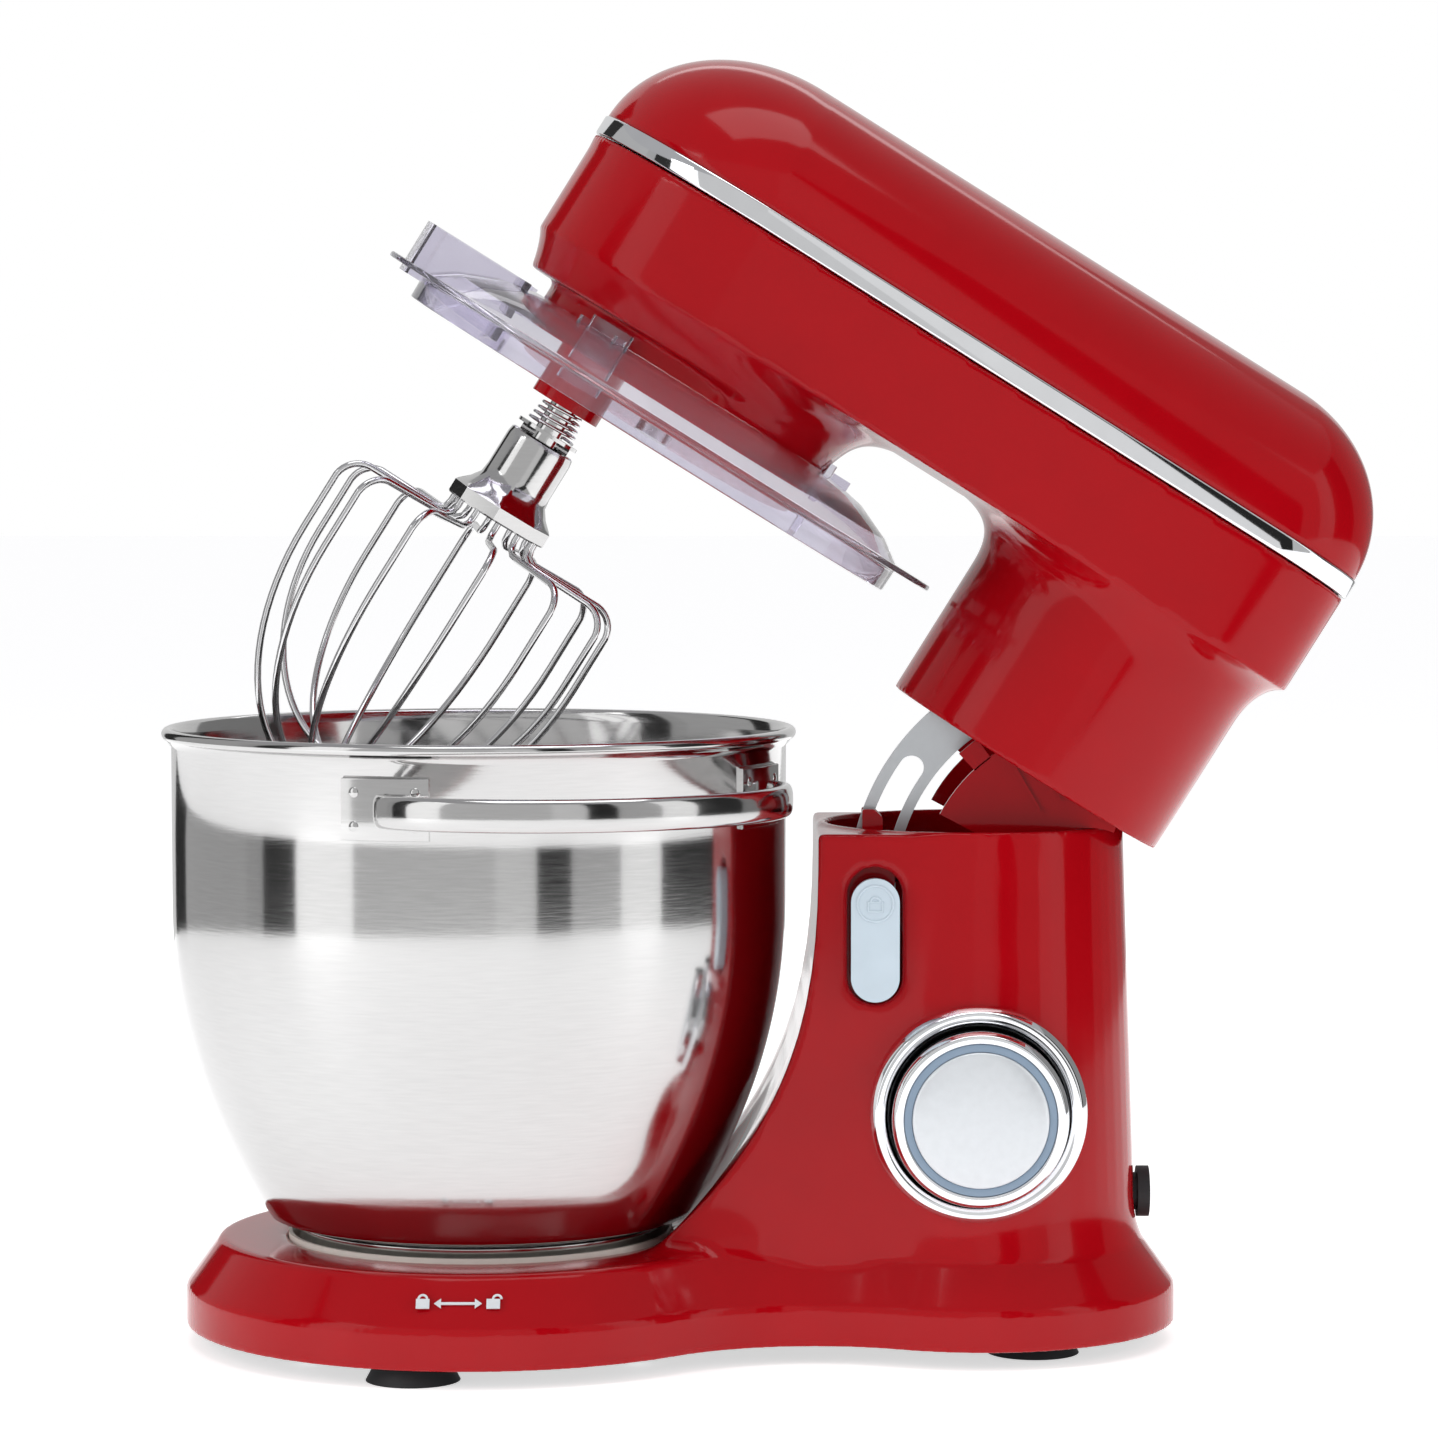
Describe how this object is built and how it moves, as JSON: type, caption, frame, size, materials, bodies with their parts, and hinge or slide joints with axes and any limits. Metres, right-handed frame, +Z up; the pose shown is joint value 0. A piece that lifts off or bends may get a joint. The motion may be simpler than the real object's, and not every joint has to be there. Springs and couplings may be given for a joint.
{
  "type": "stand mixer",
  "caption": "Tilt-head stand mixer with steel bowl, balloon whisk, clear splash guard, speed knob and latch button, head raised.",
  "frame": {"origin": "on the table, under the middle of the whole object's box with the head raised", "axes": "+Z up, +X from the nose and bowl towards the column, -Y towards the side with the speed knob and the bowl's grip"},
  "size_m": [0.4473, 0.2625, 0.4757],
  "materials": {
    "red_plastic": "high-gloss moulded plastic",
    "chrome": "polished",
    "stainless": "polished stainless steel",
    "steel": "turned steel",
    "zinc": "die-cast, bare",
    "clear": "clear plastic",
    "black_rubber": "matt",
    "black_plastic": "matt",
    "pale_button": "satin",
    "knob_disc": "satin",
    "knob_grey": "satin",
    "copper": "enamelled winding",
    "board": "coated board",
    "nylon": "moulded nylon",
    "core": "stacked laminations"
  },
  "bodies": {
    "base": {"base_housing": "red_plastic", "base_cover": "black_plastic", "suction_feet": "black_rubber", "base_screws": "steel", "bowl_lock_ring": "nylon", "hinge_bracket": "zinc", "hinge_pin": "steel", "hinge_spring": "steel", "knob_bezel": "chrome", "speed_switch": "black_plastic", "control_board": "board", "cord_gland": "black_rubber"},
    "speed_knob": {"knob_rim": "chrome", "knob_cap": "knob_disc", "knob_light_ring": "knob_grey", "knob_shaft": "steel"},
    "release": {"release_button": "pale_button", "latch_pin": "steel"},
    "bowl": {"bowl_shell": "stainless", "bowl_foot": "stainless", "bowl_grip": "stainless", "grip_plates": "stainless"},
    "head": {"head_lower_shell": "red_plastic", "head_upper_shell": "red_plastic", "head_band": "chrome", "head_chassis": "zinc", "neck_liner": "zinc", "hook_plate": "zinc", "ring_gear": "steel", "motor_frame": "zinc", "motor_stator": "core", "field_coils": "copper", "brush_holders": "black_plastic", "shaft_bearings": "steel", "drive_belt": "black_rubber", "head_screws": "steel"},
    "guard": {"splash_guard": "clear"},
    "motor": {"motor_shaft": "steel", "armature_core": "core", "commutator": "copper", "cooling_fan": "nylon", "motor_pulley": "steel"},
    "counter": {"counter_shaft": "steel", "large_pulley": "nylon", "drive_pinion": "steel"},
    "planet": {"planet_carrier": "red_plastic", "spindle": "steel", "spindle_gear": "nylon"},
    "beater": {"beater_shaft": "stainless", "planet_pinion": "steel", "cross_pin": "stainless", "shaft_spring": "stainless", "spring_washer": "stainless"},
    "whisk": {"whisk_hub": "stainless", "whisk_plate": "stainless", "whisk_wires": "stainless"}
  },
  "joints": [
    {"name": "head_tilt", "type": "hinge", "parent": "base", "child": "head", "pos_m": [0.1193, 0.0117, 0.1695], "axis": [0, 1, 0], "range_deg": [-32, 0]},
    {"name": "knob_turn", "type": "hinge", "parent": "base", "child": "speed_knob", "pos_m": [0.0778, -0.0483, 0.0913], "axis": [0, 1, 0], "range_deg": [0, 270]},
    {"name": "release_press", "type": "slide", "parent": "base", "child": "release", "axis": [0, 1, 0], "range_m": [0, 0.003], "stiffness_N_per_m": 400},
    {"name": "bowl_twist", "type": "hinge", "parent": "base", "child": "bowl", "pos_m": [-0.1057, 0.0117, 0.04], "axis": [0, 0, 1], "range_deg": [-25, 0]},
    {"name": "guard_slide", "type": "slide", "parent": "head", "child": "guard", "axis": [-0.5299, 0, -0.848], "range_m": [0, 0.012]},
    {"name": "planet_spin", "type": "hinge", "parent": "head", "child": "planet", "pos_m": [-0.03415, 0.0117, 0.34852], "axis": [0.5299, 0, 0.848], "continuous": true},
    {"name": "motor_spin", "type": "hinge", "parent": "head", "child": "motor", "pos_m": [0.1185, 0.0117, 0.25313], "axis": [0.5299, 0, 0.848], "continuous": true},
    {"name": "counter_spin", "type": "hinge", "parent": "head", "child": "counter", "pos_m": [0.03051, 0.0117, 0.36708], "axis": [0.5299, 0, 0.848], "continuous": true},
    {"name": "beater_spin", "type": "hinge", "parent": "planet", "child": "beater", "pos_m": [-0.06214, 0.0117, 0.36601], "axis": [0.5299, 0, 0.848], "continuous": true},
    {"name": "whisk_slide", "type": "slide", "parent": "beater", "child": "whisk", "axis": [-0.5299, 0, -0.848], "range_m": [0, 0.035]}
  ],
  "couplings": [
    {"joint": "counter_spin", "follows": "planet_spin", "ratio": -5},
    {"joint": "motor_spin", "follows": "planet_spin", "ratio": -20},
    {"joint": "beater_spin", "follows": "planet_spin", "ratio": -4.1429}
  ]
}
